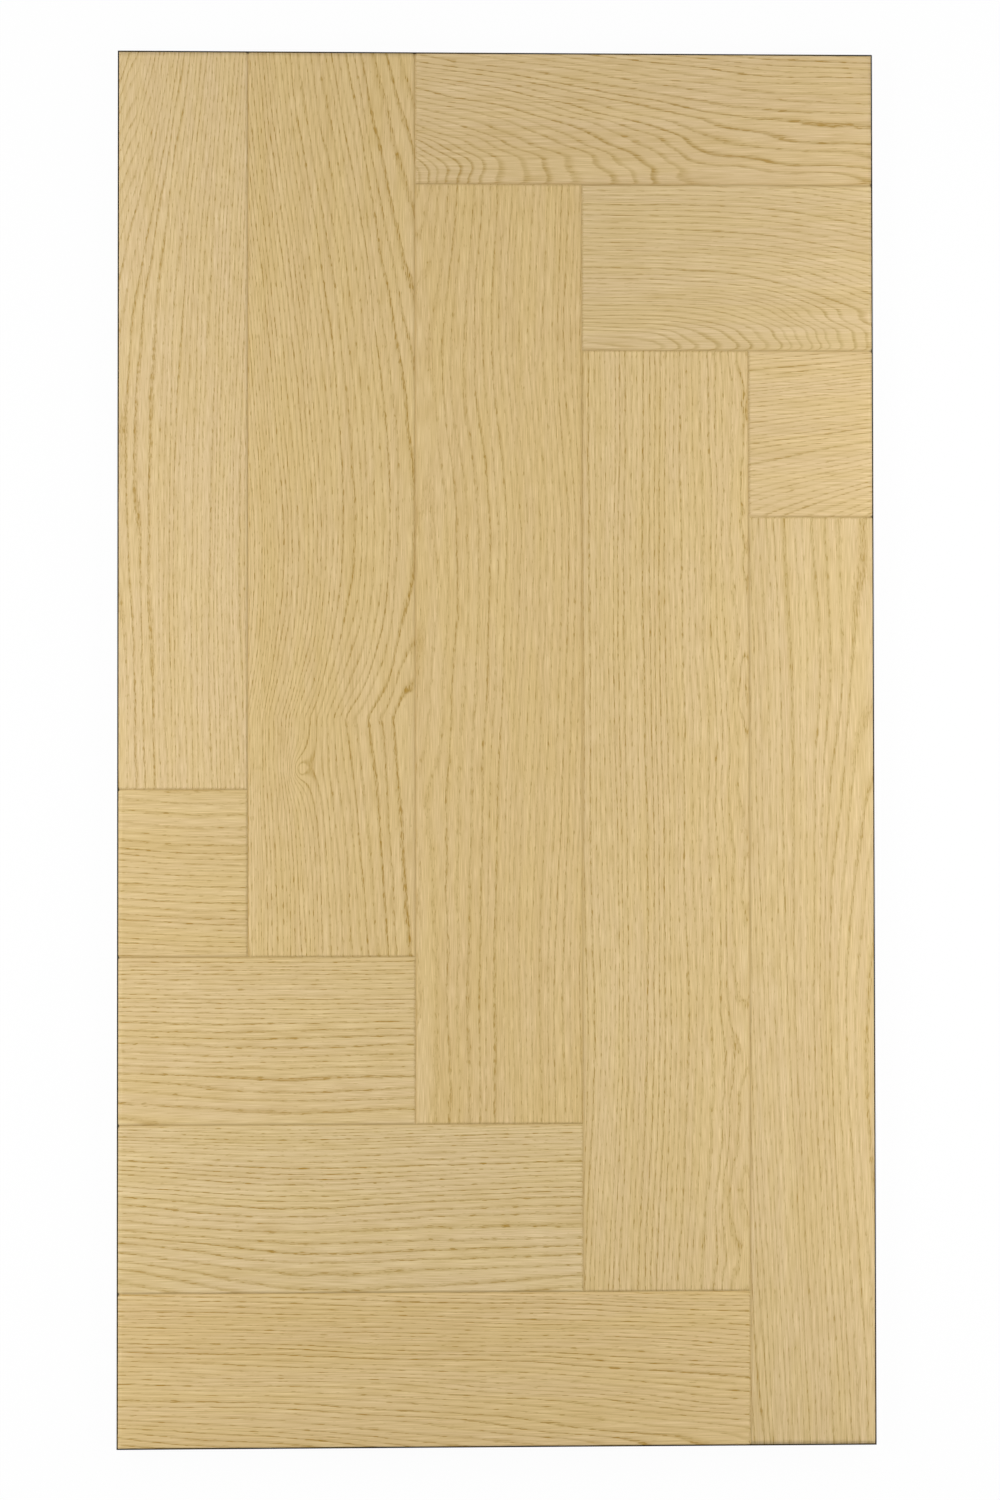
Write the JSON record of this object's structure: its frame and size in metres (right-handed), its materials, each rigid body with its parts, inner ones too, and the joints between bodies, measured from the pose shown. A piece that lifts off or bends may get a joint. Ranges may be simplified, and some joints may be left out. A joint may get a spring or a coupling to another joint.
{
  "type": "herringbone parquet panel",
  "caption": "Flat rectangular panel of tongued and grooved oak parquet blocks in a herringbone pattern, bevelled at the joints, sawn to size and edged all round with a thin dark strip.",
  "frame": {"origin": "centre of the panel's underside", "axes": "+Z out of the panel's face, +Y along the lengthwise blocks towards the head of the panel, +X across it to the right"},
  "size_m": [0.571, 1.0514, 0.014],
  "materials": {
    "lacquered_oak": "matte",
    "dark_edging": "matte"
  },
  "bodies": {
    "root": {"lengthwise_block_1": "lacquered_oak", "lengthwise_block_2": "lacquered_oak", "lengthwise_block_3": "lacquered_oak", "lengthwise_block_4": "lacquered_oak", "lengthwise_block_5": "lacquered_oak", "head_crosswise_block_1": "lacquered_oak", "head_crosswise_block_2": "lacquered_oak", "head_crosswise_block_3": "lacquered_oak", "foot_crosswise_block_1": "lacquered_oak", "foot_crosswise_block_2": "lacquered_oak", "foot_crosswise_block_3": "lacquered_oak", "foot_crosswise_block_4": "lacquered_oak", "edging_left": "dark_edging", "edging_right": "dark_edging", "edging_head": "dark_edging", "edging_foot": "dark_edging"}
  },
  "joints": []
}
